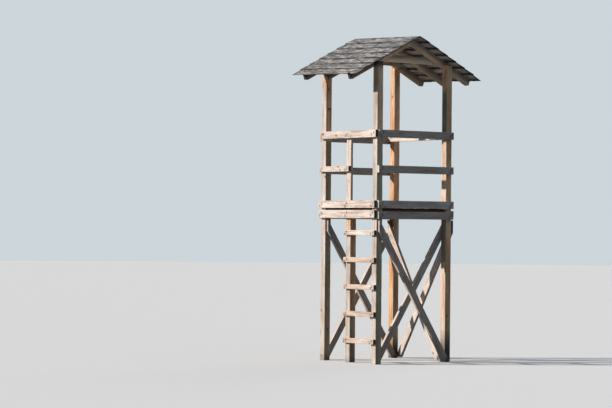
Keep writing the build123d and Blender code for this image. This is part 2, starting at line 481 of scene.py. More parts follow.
WANE_MIDDLE = 0.006
WANE_WAVES = ((0.006, 0.16), (0.004, 0.045), (0.0022, 0.018))
WANE_NOTCHES = dict(count=(1, 4), length=(0.012, 0.04), depth=(0.004, 0.016))
WANE_LIMIT = 0.4 * ROOF_LAP
LIFT_MIDDLE = 0.0008
LIFT_WAVES = ((0.0010, 0.21), (0.0006, 0.06))
EAVE_LIFT = 0.5
EAVE_REACH = 0.004
SPLIT_DEPTH = 0.030  # split at the eave over the near rafter's tail
SPLIT_HALF_WIDTH = 0.045
SPLIT_PAST_TAIL = 0.012
RIPPLE = (0.0009, 0.055, 0.014)  # height, spacing along and across


def roof_shape(rng, solid, last):
    """Waney lower edge, lifted butt and rippled top of a roof board."""
    downhill = -1.0 if solid.v[2] > 0 else 1.0
    up = 1.0 if solid.u[2] > 0 else -1.0

    def shape(s, at):
        edge = waved(rng, s, WANE_MIDDLE, WANE_WAVES)
        edge = notched(rng, s, edge, WANE_NOTCHES)
        lift = waved(rng, s, LIFT_MIDDLE, LIFT_WAVES)
        if last:
            lift *= EAVE_LIFT
            if solid.base[1] < 0:
                x = solid.base[0] + s * solid.along[0]
                far = np.abs(x - NEAR_TAIL - SPLIT_PAST_TAIL) / SPLIT_HALF_WIDTH
                edge = edge - EAVE_REACH + SPLIT_DEPTH * np.clip(1 - far, 0, 1) ** 0.5
            edge = np.maximum(edge, 0.0)
        else:
            edge = np.minimum(edge, WANE_LIMIT)
        b = at[..., 1] / solid.half_v * downhill
        weight = ease(ramp(b, -0.2, 1.2))
        at = at.copy()
        at[..., 1] -= downhill * edge[:, None] * weight
        at[..., 0] += up * lift[:, None] * weight
        height, along, across = RIPPLE
        distances = np.broadcast_arrays(s[:, None], at[..., 1])
        ripple = noise_sheet(rng, *distances, along, across)
        at[..., 0] += up * height * ripple * (at[..., 0] * up > 0)
        return at

    return shape


# Weathering. Bleach draws a timber towards its sunned colour, grey towards its
# weathered one and dark towards stains and painted shade. Front faces go by the
# kind of timber, apart from a few that the photograph shows to differ.

KIND_BLEACH = {"post": 0.86, "rung": 0.68, "brace": 1.1}
OTHER_BLEACH = 0.97
OWN_BLEACH = {
    "rear_left_post": 0.10, "rear_right_post": 0.5, "entry_upright": 0.82, "ladder_rung_5": 0.95
}
BLEACH_SPREAD = 0.04
KIND_GREY = {"post": 0.18, "rung": 0.10}
RIGHT_TONES = {"right_kick_board": (1.0, 0.72)}  # bleach and grey
USUAL_RIGHT = (0.12, 0.9)
REST_BLEACH = (0.85, 0.35, 0.5)  # tops, undersides and the rest
REST_GREY = (0.25, 0.3, 0.35)

RAIL_FADE = 0.05
SHELTERED = 0.40  # top of a post, under the roof
SHELTER_FADE = 0.09
PALE_TOP = 0.6  # of the front right post
PALE_FADE = 0.3
DECK_FADE = 0.1
RIGHT_SLOPE = -0.35  # of grey across a post
# Less grey towards the +X side of a post's front: a painted highlight towards that arris
FRONT_HIGHLIGHT_SLOPE = -0.3
# Painted shade on the right faces of the posts, towards the ground
RIGHT_FACE_SHADE = 0.22

# Painted shade under the deck on the rear posts' front faces, from the deck down to a share of its
# height
UNDER_DECK_SHADE_DOWN_TO = {"rear_left_post": 0.86, "rear_right_post": 0.64}  # of the deck's height
UNDER_DECK_SHADE_FADE = 0.05
UNDER_DECK_SHADE = 0.58
FOOT_DIRT = {  # height and share
    "rear_right_post": (0.46, 1.0),
    "rear_left_post": (0.30, 1.0),
    "front_right_post": (0.10, 0.0),
}
USUAL_DIRT = (0.10, 0.4)
DIRT_SLOPE = 1.25
DIRT_POWER = 0.8

END_STAIN = 0.25
END_STAIN_REACH = 0.012
# Cut ends facing +X: dark end grain, and painted shade on that unlit side
CUT_STAIN_AND_SHADE = 1.3
# Rafter ends: dark end grain with painted shade under the eave; tails past the posts get painted
# shade too
RAFTER_CUT = 0.7
TAIL_FADE = 0.04
TAIL_SHADE = {"front": 0.62, "rear": 0.1}
# Painted shade under the roof at the tops of the front posts
POST_TOP_SHADE = 0.9
TOP_REACH = 0.078
TOP_FADE = 0.014
SPOT_STAIN = 0.85
SPOT_RADIUS = 0.012
SPOT_RUN = 0.45  # below a spot its distances count for less
FACED = 0.3  # least cosine of a face towards a direction
DARKEST = 1.3


class Facing:
    """How much each point faces the front, the right, up, down and elsewhere."""

    def __init__(self, outs):
        ways = np.stack([-outs[:, 1], outs[:, 0], outs[:, 2], -outs[:, 2]])
        self.front, self.right, self.top, self.under = np.clip(ways, 0, 1) ** 2
        self.rest = np.clip(1 - self.front - self.right - self.top - self.under, 0, 1)

    def blend(self, front, right, others):
        """A tone of each point from those of the faces."""
        top, under, rest = others
        tone = self.front * front + self.right * right
        return tone + self.top * top + self.under * under + self.rest * rest


def across_share(values):
    """Distances from the middle, over the whole width."""
    return (values - values.mean()) / np.ptp(values)


def post_tones(node, points, front_bleach, front_grey):
    """Bleach and grey of the front and of the right face of a post."""
    x, y, z = points.T
    top = z.max()
    low = np.clip(1 - z / DECK_LEVEL, 0, 1)
    below_rail = ramp(z, RAIL_LEVEL, -RAIL_FADE)
    right_bleach = USUAL_RIGHT[0]
    right_grey = 0.14 + 0.68 * low ** 0.5
    if node == "front_left_post":
        right_grey = 0.14 + 0.60 * below_rail
    elif node == "front_right_post":
        down = ramp(z, RAIL_LEVEL, DECK_LEVEL - RAIL_LEVEL) * (z > DECK_LEVEL)
        front_grey = 0.30 - 0.14 * below_rail + 0.32 * down
        right_grey = 0.42 + 0.48 * below_rail
        right_bleach = right_bleach + 0.30 * ramp(z, top - PALE_TOP, PALE_FADE)
    elif node == "rear_right_post":
        # above the rail its front goes grey: weathering, and painted shade, as that part lies in
        # the roof's shade
        front_grey = 1 - below_rail
        right_grey = 0.52 - 0.25 * np.clip(low * 4, 0, 1) + 0.45 * low
    right_grey = right_grey + RIGHT_SLOPE * across_share(y)
    # the front grows less grey towards +X: a painted highlight towards the right arris
    if node not in OWN_BLEACH:
        front_grey = front_grey + FRONT_HIGHLIGHT_SLOPE * across_share(x)

    sheltered = ramp(z, top - SHELTERED, SHELTER_FADE)
    if node == "rear_left_post":
        below_deck = ramp(z, DECK_LEVEL, -DECK_FADE)
        front_bleach = front_bleach + 0.10 * sheltered - 0.25 * below_deck
    else:
        front_bleach = front_bleach - 0.5 * sheltered
    if node != "front_right_post":
        front_grey = front_grey * (1 - sheltered)
    return front_bleach, front_grey, right_bleach, right_grey


def rafter_tones(solid, points, facing):
    """Bleach, grey and dark of a rafter, warm below and grey above on its right face, where the
    dark is painted shade under the roof boards.
    """
    axes = ((solid.u, solid.half_u), (solid.v, solid.half_v))
    axis, half = max(axes, key=lambda pair: abs(pair[0][2]))
    lift = (points - solid.base) @ axis * np.sign(axis[2]) / half
    upper = facing.right * ramp(lift, -0.30, 0.4)
    # the upper part of the right face is greyer, and darker as painted shade under the roof boards
    return 0.70 + 0.30 * (1 - upper), 0.04 + 0.56 * upper, 0.26 * upper


def tie_tones(z):
    """Bleach, grey and dark of a tie beam, warm at its lower edge and dark at its top."""
    height = (z - z.min()) / np.ptp(z)
    return 0.95 * (1 - height) + 0.05, 0.10 + 0.65 * height, 0.50 * ramp(height, 0.4, 0.5)


def stains(node, points, outs, ends, facing):
    """Dirt, dark ends and painted shade of a timber."""
    z = points[:, 2]
    cut = ends <= 0
    dark = END_STAIN * np.exp(-ends / END_STAIN_REACH) * (1 - facing.front)
    # cut ends facing +X go near black: dark end grain and painted shade
    dark += CUT_STAIN_AND_SHADE * cut * (outs[:, 0] > ACROSS)
    # painted shade under the deck on the fronts of the rear posts
    if node in UNDER_DECK_SHADE_DOWN_TO:
        under_deck_shade = ramp(z, DECK_LEVEL, -UNDER_DECK_SHADE_FADE) * ramp(z, UNDER_DECK_SHADE_DOWN_TO[node] * DECK_LEVEL, UNDER_DECK_SHADE_FADE)
        dark += UNDER_DECK_SHADE * facing.front * under_deck_shade
    height, share = FOOT_DIRT.get(node, USUAL_DIRT)
    foot = np.clip(DIRT_SLOPE * (1 - z / height), 0, 1)
    dark += share * foot ** DIRT_POWER
    if "post" in node:
        # painted shade on the right faces, growing towards the ground, on the front left post below
        # the rail
        low = np.clip(1 - z / DECK_LEVEL, 0, 1) ** 0.5
        if node == "front_left_post":
            low = ramp(z, RAIL_LEVEL, -RAIL_FADE)
        dark += RIGHT_FACE_SHADE * facing.right * low
        if "front" in node:
            # painted shade under the roof at the tops of the front posts
            top = ramp(ends, TOP_REACH, -TOP_FADE) * (z > DECK_LEVEL)
            dark += POST_TOP_SHADE * top
    if "rafter" in node:
        # rafter ends and tails: painted shade under the eave boards, over the darker end grain
        dark += RAFTER_CUT * cut
        dark += by_kind(node, TAIL_SHADE, 0) * ramp(np.abs(points[:, 1]), POST_FACE, TAIL_FADE)
    return dark


def spot_stains(points, outs, spots):
    """Dark stains round nails and knots, which run down from them."""
    dark = np.zeros(len(points))
    for point, way in spots:
        rel = points - point
        rel = rel - np.outer(rel @ way, way)
        drop = rel[:, 2] * np.where(rel[:, 2] < 0, SPOT_RUN, 1.0)
        far = np.sqrt((rel ** 2).sum(1) - rel[:, 2] ** 2 + drop ** 2)
        faced = np.abs(outs @ way) > FACED
        dark += SPOT_STAIN * np.exp(-((far / SPOT_RADIUS) ** 2)) * faced
    return dark


def weathering(rng, node, solid, points, outs, ends, spots):
    """Bleach, grey and dark at each point of a timber."""
    facing = Facing(outs)
    bleach = OWN_BLEACH.get(node, by_kind(node, KIND_BLEACH, OTHER_BLEACH))
    bleach = bleach + rng.uniform(-BLEACH_SPREAD, BLEACH_SPREAD)
    grey = 0.0 if node in OWN_BLEACH else by_kind(node, KIND_GREY, 0.0)
    right_bleach, right_grey = RIGHT_TONES.get(node, USUAL_RIGHT)
    if "post" in node:
        bleach, grey, right_bleach, right_grey = post_tones(node, points, bleach, grey)
    bleach = facing.blend(bleach, right_bleach, REST_BLEACH)
    grey = facing.blend(grey, right_grey, REST_GREY)
    dark = 0.0
    if "rafter" in node:
        bleach, grey, dark = rafter_tones(solid, points, facing)
    elif "tie_beam" in node:
        bleach, grey, dark = tie_tones(points[:, 2])
    elif node == "deck_boards":
        bleach, grey = facing.top * 0.6 + 0.25, 0.45
        # the sides and ends of the boards go dark: painted shade in the gaps between them and in
        # the recess behind the kick and rim boards
        dark = 0.3 + 0.7 * (1 - facing.top - facing.under)
    dark = dark + stains(node, points, outs, ends, facing) + spot_stains(points, outs, spots)
    tones = np.broadcast_arrays(bleach, grey, dark)
    return np.stack([np.clip(tone, 0, most) for tone, most in zip(tones, (1, 1, DARKEST))], 1)


# Roof boards: brown grows towards the eave, the tops darken along the laps and stain by the edges,
# and painted shade lies under the laps and by the ends
ROOF_BROWNED = (0.02, 0.42)  # at the ridge, and how much more at the eave
UNDER_BROWNED = 0.1
LAP_DARKENING = 0.5
LAP_SPREAD = (0.5, 1.2)
LAP_REACH = 0.024
LAP_MIDDLE = 0.55
LAP_WAVES = ((0.45, 0.14),)
EDGE_STAIN = 0.25
EDGE_REACH = 0.012
RIDGE_STAIN = 0.14
# Painted shade on the undersides below the laps
UNDER_LAP_SHADE = 0.9
UNDER_REACH = 0.075
UNDER_FADE = 0.05
# Board ends and a strip beside them: dark end grain, and painted shade along the verge
BOARD_CUT = 1.2
BOARD_END = 0.95
BOARD_REACH = 0.026


def roof_weathering(rng, solid, points, outs, ends, course, count):
    """Brown, underside and dark shares of a roof board."""
    downhill = -solid.v if solid.v[2] > 0 else solid.v
    from_head = (points - solid.base) @ downhill + solid.half_v
    to_edge = 2 * solid.half_v - from_head
    over = outs[:, 2] > FACED
    long_edge = (outs[:, 2] < FACED) & (np.abs(outs[:, 0]) < ACROSS)
    under = (outs[:, 2] < -FACED) | long_edge
    ridge, more = ROOF_BROWNED
    brown = ridge + more * (course / count) ** 2 + UNDER_BROWNED * under
    s = (points - solid.base) @ solid.along
    # a darker band along each lap line
    lap = np.exp(-(((from_head - ROOF_LAP) / LAP_REACH) ** 2))
    lap = LAP_DARKENING * lap * waved(rng, s, LAP_MIDDLE, LAP_WAVES)
    lap = lap * rng.uniform(*LAP_SPREAD)
    edge = EDGE_STAIN * ramp(to_edge, EDGE_REACH, -EDGE_REACH)
    dark = over * (lap + edge + RIDGE_STAIN * (course == 0))
    # painted shade on the undersides, below each lap
    dark += under * UNDER_LAP_SHADE * ramp(to_edge, ROOF_LAP + UNDER_REACH, -UNDER_FADE)
    # board ends and a strip beside them: dark end grain, and painted shade along the verge
    dark += BOARD_CUT * (ends <= 0) + BOARD_END * np.exp(-ends / BOARD_REACH)
    return np.stack([brown, under.astype(float), np.clip(dark, 0, 1)], 1)


# Grain: distances along and across a timber from its wandering pith

POST_PITH = 0.035
PITH_ASIDE = (1.2, 3.0)  # of the thinner half of a board
PITH_ACROSS = 0.6
PITH_LEAN = 0.012
PITH_WANDER = ((0.005, 0.5),)
GRAIN_SHIFT = 40


def grain_of(rng, solid, points, look):
    """Distances along and across the timber from its wandering pith."""
    rel = points - solid.base
    s, a, b = rel @ solid.along, rel @ solid.u, rel @ solid.v
    if look is POST:
        pith = rng.uniform(-POST_PITH, POST_PITH, 2)
    else:
        aside = rng.choice((-1, 1)) * rng.uniform(*PITH_ASIDE) * min(solid.half_u, solid.half_v)
        pith = np.array([aside, rng.uniform(-PITH_ACROSS, PITH_ACROSS) * solid.half_v])
    lean = rng.uniform(-PITH_LEAN, PITH_LEAN, 2)
    reach = np.clip(s, 0, solid.length)
    a = waved(rng, reach, a - pith[0] - lean[0] * s, PITH_WANDER)
    b = waved(rng, reach, b - pith[1] - lean[1] * s, PITH_WANDER)
    return np.stack([s + rng.uniform(0, GRAIN_SHIFT), a, b], 1)


# Materials

# Sawn softwood: colours, growth rings, knots and relief
CREAM = (1.0, 0.875, 0.785)
PINE = (0.97, 0.54, 0.27)
SILVER = (0.30, 0.32, 0.335)
CHALK = (0.95, 0.885, 0.845)
OLIVE = (0.31, 0.325, 0.25)
DECK_FRESH = (0.50, 0.32, 0.19)
DECK_WORN = (0.62, 0.50, 0.40)
DECK_GREY = (0.27, 0.25, 0.23)
RAFTER_FRESH = (1.0, 0.60, 0.34)
RAFTER_WORN = (1.0, 0.76, 0.52)
RAFTER_GREY = (0.50, 0.46, 0.40)
# Dark colours of the frame and deck: stains, and painted shade where the weathering puts it
FRAME_STAIN_AND_SHADE = (0.034, 0.041, 0.043)
DECK_STAIN_AND_SHADE = (0.009, 0.014, 0.015)
KNOT_RIM = (0.42, 0.22, 0.10)
KNOT_HEART = (0.10, 0.055, 0.035)
CHECK_SHADE = (0.09, 0.07, 0.055)
RING_WIDTH = 0.0045
RING_SWAY = 0.010
KNOT_BEND = 0.007
KNOT_CELL = (0.31, 0.085, 0.085)
KNOT_SHORTER = 0.75
KNOT_UNEVEN = 0.006
KNOT_RADIUS = 0.0125
GRAIN_RELIEF = 0.0007
SPECULAR = 0.08

# Roof boards, above and below
ROOF_DARK = (0.070, 0.080, 0.090)
ROOF_GREY = (0.435, 0.457, 0.468)
ROOF_PALE = (0.97, 0.90, 0.84)
ROOF_BROWN = (0.36, 0.25, 0.17)
UNDER_DARK = (0.07, 0.062, 0.056)
UNDER_LIGHT = (1.0, 0.86, 0.73)
UNDER_PALE = (1.0, 0.87, 0.72)
SPLIT_SHADE = (0.045, 0.04, 0.038)
# Dark colour of the roof boards: stains, and painted shade under the laps and by the ends
ROOF_STAIN_AND_SHADE = (0.014, 0.017, 0.022)
ROOF_RELIEF = 0.0022

# Rusted nail heads
NAIL_DARK = (0.030, 0.024, 0.022)
NAIL_RUST = (0.16, 0.065, 0.030)
NAIL_RELIEF = 0.0004
NAIL_METALLIC = 0.35


class Graph:
    """Adds shader nodes. Inputs go by place or name, and are sockets or values."""

    def __init__(self, tree):
        self.tree = tree

    def feed(self, socket, value):
        if isinstance(value, bpy.types.NodeSocket):
            self.tree.links.new(value, socket)
        else:
            socket.default_value = value

    def add(self, kind, inputs=(), out=0, **settings):
        made = self.tree.nodes.new("ShaderNode" + kind)
        for key, value in settings.items():
            setattr(made, key, value)
        for key, value in inputs.items() if isinstance(inputs, dict) else enumerate(inputs):
            self.feed(made.inputs[key], value)
        return made.outputs[out]

    def math(self, operation, *values, clamp=False):
        return self.add("Math", values, operation=operation, use_clamp=clamp)

    def vector(self, operation, *values, out=0):
        return self.add("VectorMath", values, out, operation=operation)

    def total(self, *terms, plus=0.0):
        """Sum of values times weights, and a value more."""
        for value, weight in terms:
            plus = self.math("MULTIPLY_ADD", value, weight, plus)
        return plus

    def band(self, value, low, high, to_low=0.0, to_high=1.0):
        return self.add("MapRange", {0: value, 1: low, 2: high, 3: to_low, 4: to_high})

    def mix(self, share, a, b, blend="MIX"):
        a, b = ((*c, 1.0) if isinstance(c, tuple) else c for c in (a, b))
        return self.add("Mix", {0: share, 6: a, 7: b}, 2, data_type="RGBA", blend_type=blend)

    def tint(self, base, share, most, colour):
        """A base with a colour laid over it, up to a largest share."""
        return self.mix(self.math("MULTIPLY", share, most), base, colour)

    def times(self, base, red, green, blue):
        """A base with its channels multiplied."""
        return self.mix(1.0, base, self.add("CombineXYZ", [red, green, blue]), "MULTIPLY")

    def by_ray(self, seen, other):
        """What the camera, gloss and glass see, and else the light that it gives."""
        path = self.add("LightPath").node.outputs
        share = path["Is Camera Ray"]
        for name in ("Is Glossy Ray", "Is Transmission Ray"):
            share = self.math("MAXIMUM", share, path[name])
        return self.mix(share, other, seen)


class Surface(Graph):
    """A material whose pieces carry their grain and tones."""

    def __init__(self, name):
        self.material = bpy.data.materials.new(name)
        self.material.use_nodes = True
        super().__init__(self.material.node_tree)
        self.shader = self.tree.nodes["Principled BSDF"]

    def carried(self, name):
        return self.add("Attribute", out="Vector", attribute_name=name)

    def parts(self, value):
        return self.add("SeparateXYZ", [value]).node.outputs

    def noise(self, place, scale, detail=3.0, rough=0.55):
        inputs = {"Vector": place, "Scale": scale, "Detail": detail, "Roughness": rough}
        return self.add("TexNoise", inputs)

    def fibres(self, grain, along, across, shift=0.0, detail=3.0, rough=0.55):
        """Noise with so many waves a metre along and across the grain."""
        moved = self.vector("ADD", grain, (shift, shift * 1.7, shift * 2.3))
        place = self.vector("MULTIPLY", moved, (along, across, across))
        return self.noise(place, 1.0, detail, rough)

    def line(self, noise, wide, thin):
        """A thin line where a noise crosses its middle."""
        return self.band(self.math("ABSOLUTE", self.math("SUBTRACT", noise, 0.5)), wide, thin)

    def relief(self, height, distance, strength):
        return self.add("Bump", {"Strength": strength, "Distance": distance, "Height": height})

    def finish(self, inputs):
        for key, value in inputs.items():
            self.feed(self.shader.inputs[key], value)
        return self.material


def timber_material(name, fresh, bleached, grey, streak=0.5, stain_and_shade=FRAME_STAIN_AND_SHADE):
    """Sawn softwood: growth rings, fibre, streaks, knots, hair checks, stains and dirt, and painted
    shade.
    """
    g = Surface(name)
    grain = g.carried("grain")
    bleach, greyed, dark = g.parts(g.carried("tone"))
    across = g.parts(grain)[1:]

    # knots: one at most in each cell of the timber
    cells = g.vector("DIVIDE", grain, KNOT_CELL)
    voronoi = {"Vector": cells, "Scale": 1.0, "Randomness": 0.9}
    nearest = g.add("TexVoronoi", voronoi, "Position")
    pick = g.add("SeparateColor", [nearest.node.outputs["Color"]])
    shape = (KNOT_CELL[0] * KNOT_SHORTER, *KNOT_CELL[1:])
    away = g.vector("MULTIPLY", g.vector("SUBTRACT", cells, nearest), shape)
    uneven = g.add("TexNoise", {"Vector": grain, "Scale": 90.0}, "Color")
    uneven = g.vector("SUBTRACT", uneven, (0.5, 0.5, 0.5))
    away = g.vector("MULTIPLY_ADD", uneven, (KNOT_UNEVEN,) * 3, away)
    size = g.math("MULTIPLY", g.band(pick, 0.25, 1.0, 0.25, 1.0), KNOT_RADIUS)
    knot = g.math("DIVIDE", g.vector("LENGTH", away, out="Value"), size)
    knot_core = g.band(knot, 1.05, 0.85)
    knot_halo = g.band(knot, 2.6, 0.9)

    # growth rings round the pith, bent by the knots
    sway = g.fibres(grain, 3.0, 9.0, detail=2.0)
    radius = g.vector("LENGTH", g.add("CombineXYZ", [0.0, *across]), out="Value")
    radius = g.math("MULTIPLY_ADD", sway, RING_SWAY, radius)
    bend = g.math("DIVIDE", KNOT_BEND, g.math("MULTIPLY_ADD", knot, knot, 1.0))
    phase = g.math("FRACT", g.math("DIVIDE", g.math("ADD", radius, bend), RING_WIDTH))
    late = g.math("POWER", phase, 2.5)

    fibre = g.fibres(grain, 14.0, 420.0, detail=2.0)
    fine = g.fibres(grain, 5.0, 150.0, 3.1)
    wide = g.fibres(grain, 1.7, 42.0, 7.7)
    blotch = g.fibres(grain, 2.6, 9.0, 12.3, rough=0.6)

    # sun bleach and grey, broken up along the grain
    broken = g.total((wide, 0.9), (blotch, 0.8), plus=-0.85)
    base = g.mix(g.math("MULTIPLY_ADD", broken, streak, bleach, clamp=True), fresh, bleached)
    broken = g.total((fine, 1.0), (wide, 1.0), plus=-1.0)
    greyed = g.math("MULTIPLY_ADD", broken, streak * 1.2, greyed, clamp=True)
    base = g.mix(greyed, base, grey)

    # redder late wood, then light and dark streaks
    warm = g.math("MULTIPLY", late, g.band(fine, 0.3, 0.8, 0.5, 1.0))
    warm = g.band(warm, 0.0, 1.0, 1.0, 0.72)
    base = g.times(base, g.band(warm, 0.0, 1.0, 0.2, 1.0), warm, g.math("POWER", warm, 1.4))
    shade = g.total((blotch, 0.7), (wide, 0.9), (fine, 1.0))
    shade = g.band(shade, 1.05, 1.50, 0.52, 1.24)
    base = g.times(base, shade, shade, shade)
    base = g.tint(base, knot_halo, 0.55, KNOT_RIM)
    base = g.tint(base, knot_core, 0.85, KNOT_HEART)

    # hair checks in patches, then the dark tone: stains by the nails, at the ends and near the
    # ground, and painted shade
    hair = g.line(g.fibres(grain, 1.3, 55.0, 21.0, detail=1.5), 0.010, 0.003)
    hair = g.math("MULTIPLY", hair, g.band(blotch, 0.46, 0.56))
    base = g.tint(base, hair, 0.7, CHECK_SHADE)
    patchy = g.band(g.math("ADD", blotch, fine), 0.7, 1.2, 0.75, 1.25)
    patchy = g.math("MULTIPLY", dark, patchy, clamp=True)
    base = g.tint(base, patchy, 0.93, stain_and_shade)

    height = g.total((fine, 0.5), (fibre, 0.55), (late, 0.35), (hair, -1.6), (knot_core, -0.5))
    return g.finish({
        "Base Color": base,
        "Roughness": g.band(fine, 0.2, 0.8, 0.92, 0.76),
        "Normal": g.relief(height, GRAIN_RELIEF, 0.7),
        "Specular IOR Level": SPECULAR,
    })


def roof_material(name):
    """Old roof boards: grey and brown streaks, pale splinters, splits, dark stains and painted
    shade.
    """
    g = Surface(name)
    grain = g.carried("grain")
    browned, under, dark = g.parts(g.carried("tone"))
    broad = g.fibres(grain, 2.2, 7.0, rough=0.6)
    patches = g.fibres(grain, 9.0, 26.0, 4.0)
    streaks = g.fibres(grain, 3.2, 85.0, 6.0, rough=0.6)
    splinters = g.fibres(grain, 13.0, 120.0, 9.0, rough=0.6)
    fibre = g.fibres(grain, 30.0, 500.0, 2.0, detail=2.0)
    mixed = g.total((splinters, 0.34), (streaks, 0.42), (patches, 0.48), (broad, 0.35), plus=-0.175)
    pale = g.band(mixed, 0.64, 0.76)

    base = g.mix(g.band(mixed, 0.51, 0.69), ROOF_DARK, ROOF_GREY)
    base = g.tint(base, pale, 0.95, ROOF_PALE)
    below = g.mix(g.band(mixed, 0.49, 0.59), UNDER_DARK, UNDER_LIGHT)
    below = g.tint(below, pale, 0.9, UNDER_PALE)
    dull = g.band(broad, 0.38, 0.55, 0.70, 1.0)
    base = g.mix(under, base, g.times(below, dull, dull, dull))

    brown = g.total((g.fibres(grain, 3.4, 16.0, 15.0), 1.7), plus=-0.85)
    brown = g.math("ADD", brown, browned, clamp=True)
    base = g.tint(base, brown, 0.6, ROOF_BROWN)
    dim = g.band(fibre, 0.25, 0.75, 0.86, 1.08)
    base = g.times(base, dim, dim, dim)
    hair = g.line(g.fibres(grain, 1.6, 40.0, 21.0, detail=2.0), 0.016, 0.005)
    base = g.tint(base, hair, 0.75, SPLIT_SHADE)
    patchy = g.band(g.math("ADD", broad, streaks), 0.75, 1.25, 0.7, 1.3)
    patchy = g.math("MULTIPLY", dark, patchy, clamp=True)
    base = g.tint(base, patchy, 0.96, ROOF_STAIN_AND_SHADE)

    height = g.total((fibre, 0.4), (splinters, 1.0), (streaks, 1.0), (hair, -1.2))
    return g.finish({
        "Base Color": base,
        "Roughness": g.band(splinters, 0.2, 0.8, 0.95, 0.8),
        "Normal": g.relief(height, ROOF_RELIEF, 0.9),
        "Specular IOR Level": SPECULAR,
    })


def nail_material(name):
    """Rusted steel heads."""
    g = Surface(name)
    rust = g.noise(g.add("TexCoord", out="Object"), 260.0, 4.0)
    return g.finish({
        "Base Color": g.mix(g.band(rust, 0.35, 0.65), NAIL_DARK, NAIL_RUST),
        "Roughness": g.band(rust, 0.3, 0.7, 0.5, 0.85),
        "Normal": g.relief(rust, NAIL_RELIEF, 0.6),
        "Metallic": NAIL_METALLIC,
    })


frame_look = timber_material("sun_bleached_softwood", PINE, CREAM, SILVER, 1.1)
post_look = timber_material("sun_bleached_posts", PINE, CHALK, OLIVE, 1.1)
deck_look = timber_material("walked_softwood", DECK_FRESH, DECK_WORN, DECK_GREY, stain_and_shade=DECK_STAIN_AND_SHADE)
rafter_look = timber_material("browned_softwood", RAFTER_FRESH, RAFTER_WORN, RAFTER_GREY, 2.6)
roof_look = roof_material("weathered_roof_boards")
nail_look = nail_material("rusted_nails")


# Nails: where boards cross other timbers

FRONT, BACK, LEFT, RIGHT, UP = (0, -1, 0), (0, 1, 0), (-1, 0, 0), (1, 0, 0), (0, 0, 1)
FACE_SHARES = np.linspace(0.004, 0.996, 250)  # places on a face that are tried
FACE_SIDES = np.linspace(-0.86, 0.86, 13)
NAIL_STRAY = 0.08
CORNER_PAIR = ((0.3, 0.3), (0.7, 0.7))
MIDDLE_PAIR = ((0.5, 0.5), (0.5, 0.5))

nodes = sorted(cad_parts)
timbers = {node: [Solid(points) for points in solids(node)] for node in nodes}
nail_rng = np.random.default_rng(SEED)
nails = {node: [] for node in nodes}


def nail_places(board, other, way, rows):
    """Nail heads where a board crosses another timber, on the face towards a direction."""
    flat = abs(board.u @ way) > abs(board.v @ way)
    share, side = (grid.ravel() for grid in np.meshgrid(FACE_SHARES, FACE_SIDES))
    face = np.sign((board.u if flat else board.v) @ way) * np.ones(len(share))
    a, b = (face, side) if flat else (side, face)
    points = board.place(share, a, b)
    keep = other.holds(points, way)
    if not keep.any():
        return []
    points, share, side = points[keep], share[keep], side[keep]
    width = board.half_v if flat else board.half_u
    found = []
    for row, column in rows:
        row, column = (part + nail_rng.uniform(-NAIL_STRAY, NAIL_STRAY) for part in (row, column))
        aside = share - share.min() - np.ptp(share) * row
        above = side - side.min() - np.ptp(side) * column
        gap = (aside * board.length) ** 2 + (above * width) ** 2
        found.append((points[gap.argmin()], way, board))
    return found


def nail(board_node, other_node, way, rows=CORNER_PAIR):
    """Nails through each solid of one node into each solid of another."""
    way = np.array(way, float)
    for board in timbers[board_node]:
        for other in timbers[other_node]:
            nails[board_node] += nail_places(board, other, way, rows)


for level in ("kick_board", "rim_board", "top_rail"):
    for side, way in (("left", LEFT), ("right", RIGHT)):
        nail(f"front_{level}", f"front_{side}_post", FRONT)
        nail(f"rear_{level}", f"rear_{side}_post", FRONT if level == "top_rail" else BACK)
        for end in ("front", "rear"):
            nail(f"{side}_{level}", f"{end}_{side}_post", way)
for side, way in (("left", LEFT), ("right", RIGHT)):
    inward = (-way[0], 0, 0)
    for end in ("front", "rear"):
        post = f"{end}_{side}_post"
        nail(f"{side}_mid_rail", post, way)
        nail(f"{side}_outer_brace", post, way)
        nail(f"{side}_inner_brace", post, inward)
        nail(f"{side}_bearer", post, inward)
        nail(f"{side}_{end}_rafter", post, inward)
        nail(f"{side}_tie_beam", f"{side}_{end}_rafter", inward)
    nail("deck_boards", f"{side}_bearer", UP)
    nail("rear_outer_brace", f"rear_{side}_post", BACK)
    nail("rear_inner_brace", f"rear_{side}_post", FRONT)
nail("front_mid_rail", "front_left_post", FRONT)
for board in ("front_mid_rail", "front_top_rail", "front_kick_board"):
    nail(board, "entry_upright", FRONT)
nail("front_rim_board", "ladder_post", FRONT)
for rung in [node for node in nodes if "rung" in node]:
    nail(rung, "ladder_post", FRONT)
    nail(rung, "front_right_post", FRONT)
for end in ("front", "rear"):
    for place in ("left", "middle", "right"):
        nail(f"{end}_roof_boards", f"{place}_{end}_rafter", UP, MIDDLE_PAIR)


# Pieces

SHARP_ANGLE = math.radians(38)
KINDS = {
    "post": (POST, post_look, "frame_timber"),
    "deck_boards": (DECK, deck_look, "deck_boards"),
    "rafter": (BOARD, rafter_look, "roof_timber"),
    "tie_beam": (BOARD, rafter_look, "roof_timber"),
    "roof_boards": (ROOF, roof_look, "roof_boards"),
}
OTHER_KIND = (BOARD, frame_look, "frame_timber")

# Dark knots that the photograph shows: face, share of the length and place across
KNOTS = {
    "front_left_post": ((RIGHT, 0.844, -0.25), (RIGHT, 0.844, 0.15), (RIGHT, 0.844, 0.55)),
    "rear_right_post": ((RIGHT, 0.694, 0.35),),
    "front_mid_rail": ((FRONT, 0.72, -0.2),),
    "rear_left_post": ((FRONT, 0.897, 0.0),),
}


def knot_places(node, solid):
    """The knots of a timber as points and directions."""
    found = []
    for way, share, across in KNOTS.get(node, ()):
        way = np.array(way, float)
        cosines = (solid.u @ way, solid.v @ way)
        a, b = (np.sign(c) if abs(c) > ACROSS else across for c in cosines)
        point = solid.place(np.array([share]), np.array([a]), np.array([b]))[0]
        found.append((point, way))
    return found


